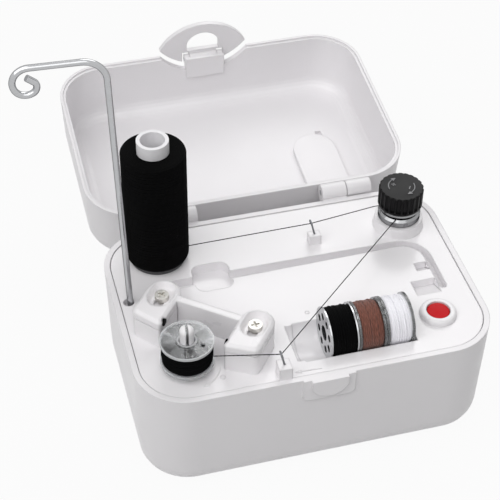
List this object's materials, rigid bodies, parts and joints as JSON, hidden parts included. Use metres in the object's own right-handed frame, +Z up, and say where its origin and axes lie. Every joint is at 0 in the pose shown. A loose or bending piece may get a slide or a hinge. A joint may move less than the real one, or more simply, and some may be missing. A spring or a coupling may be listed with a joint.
{
  "type": "bobbin winder",
  "caption": "Battery bobbin winder in a white hinged case, open, with a thread spool, guide rod, tension knob, sensor bracket, start button and stored bobbins.",
  "frame": {"origin": "middle of the flat underside that the case stands on", "axes": "+X to the right along the front, +Y to the back where the lid is hinged, +Z up"},
  "size_m": [0.1714, 0.2075, 0.1681],
  "materials": {
    "white_plastic": "moulded white ABS, satin gloss",
    "tray_plastic": "moulded pale plastic",
    "steel": "plated or drawn steel",
    "bright_metal": "bright nickel plating",
    "brass": "turned brass",
    "cell_jacket": "plain printed jacket",
    "black_plastic": "moulded black plastic",
    "red_plastic": "moulded red plastic",
    "board": "green solder mask",
    "clear_plastic": "clear moulded polystyrene",
    "grey_plastic": "translucent pale plastic",
    "black_thread": "wound polyester thread",
    "brown_thread": "wound polyester thread",
    "white_thread": "wound polyester thread",
    "red_lead": "insulated wire",
    "black_lead": "insulated wire",
    "white_lead": "insulated wire"
  },
  "bodies": {
    "case": {"base_case": "white_plastic", "deck": "white_plastic", "hinge_pins": "steel", "deck_screws": "steel", "battery_tray": "tray_plastic", "battery_cells": "cell_jacket", "battery_springs": "steel", "battery_contacts": "steel", "battery_door": "white_plastic", "battery_door_screw": "steel", "gear_plate": "steel", "gear_plate_screws": "steel", "motor_can": "steel", "motor_end_cap": "tray_plastic", "upper_bush": "brass", "lower_bush": "brass", "sensor_screws": "steel", "rear_thread_hook": "steel", "front_thread_hook": "steel", "tension_stud": "steel", "tension_nut": "steel", "lower_tension_disc": "bright_metal", "upper_tension_disc": "bright_metal", "tension_spring": "steel", "tact_switch": "black_plastic", "circuit_board": "board", "board_screws": "steel", "spool_pin": "white_plastic", "thread_run": "black_thread", "motor_leads": "red_lead", "battery_leads": "black_lead", "sensor_leads": "white_lead"},
    "lid": {"lid": "white_plastic", "clasp_pin": "steel"},
    "clasp": {"lid_clasp": "white_plastic"},
    "spool": {"spool_core": "grey_plastic", "spool_thread": "black_thread"},
    "rod": {"guide_rod": "bright_metal"},
    "spindle": {"spindle_shaft": "steel", "spindle_gear": "tray_plastic", "spindle_hub": "white_plastic", "winding_bobbin": "clear_plastic", "winding_bobbin_thread": "black_thread"},
    "rotor": {"motor_shaft": "steel", "motor_pinion": "brass"},
    "washer": {"tension_washer": "steel"},
    "knob": {"tension_knob": "black_plastic"},
    "button": {"start_button": "red_plastic"},
    "bracket": {"sensor_bracket": "white_plastic", "sensor_emitter": "black_plastic", "sensor_receiver": "black_plastic"},
    "first_bobbin": {"metal_bobbin": "steel", "metal_bobbin_thread": "black_thread"},
    "second_bobbin": {"middle_bobbin": "clear_plastic", "middle_bobbin_thread": "brown_thread"},
    "third_bobbin": {"end_bobbin": "clear_plastic", "end_bobbin_thread": "white_thread"}
  },
  "joints": [
    {"name": "lid_hinge", "type": "hinge", "parent": "case", "child": "lid", "pos_m": [0, 0.0525, 0.0516], "axis": [1, 0, 0], "range_deg": [0, 100]},
    {"name": "clasp_hinge", "type": "hinge", "parent": "lid", "child": "clasp", "pos_m": [0, 0.15381, 0.05873], "axis": [-1, 0, 0], "range_deg": [0, 75]},
    {"name": "spool_spin", "type": "hinge", "parent": "case", "child": "spool", "pos_m": [-0.0483, 0.032, 0.0502], "axis": [0, 0, 1], "continuous": true},
    {"name": "rod_swivel", "type": "hinge", "parent": "case", "child": "rod", "pos_m": [-0.0644, 0.0089, 0.0502], "axis": [-0.0244, 0, 0.9997], "continuous": true},
    {"name": "spindle_spin", "type": "hinge", "parent": "case", "child": "spindle", "pos_m": [-0.0502, -0.0298, 0.0502], "axis": [0, 0, 1], "continuous": true},
    {"name": "rotor_spin", "type": "hinge", "parent": "case", "child": "rotor", "pos_m": [-0.03998, -0.01958, 0.038], "axis": [0, 0, 1], "continuous": true},
    {"name": "washer_slide", "type": "slide", "parent": "case", "child": "washer", "axis": [0, 0, 1], "range_m": [-0.00085, 0.0017], "deforming": ["tension_spring"]},
    {"name": "knob_turn", "type": "hinge", "parent": "washer", "child": "knob", "pos_m": [0.0535, 0.027, 0.0612], "axis": [0, 0, 1], "range_deg": [-180, 360]},
    {"name": "button_press", "type": "slide", "parent": "case", "child": "button", "axis": [0, 0, -1], "range_m": [0, 0.0015], "stiffness_N_per_m": 400, "springref_m": -0.0015},
    {"name": "bracket_slide", "type": "slide", "parent": "case", "child": "bracket", "axis": [-0.6225, -0.7826, 0], "range_m": [-0.0027, 0]},
    {"name": "first_bobbin_roll", "type": "hinge", "parent": "case", "child": "first_bobbin", "pos_m": [0.0092, -0.0288, 0.0529], "axis": [1, 0, 0], "continuous": true},
    {"name": "second_bobbin_roll", "type": "hinge", "parent": "case", "child": "second_bobbin", "pos_m": [0.02045, -0.0288, 0.0529], "axis": [1, 0, 0], "continuous": true},
    {"name": "third_bobbin_roll", "type": "hinge", "parent": "case", "child": "third_bobbin", "pos_m": [0.0317, -0.0288, 0.0529], "axis": [1, 0, 0], "continuous": true}
  ],
  "couplings": [
    {"joint": "rotor_spin", "follows": "spindle_spin", "ratio": -3},
    {"joint": "washer_slide", "follows": "knob_turn", "m_per_rad": 0.00015915}
  ]
}
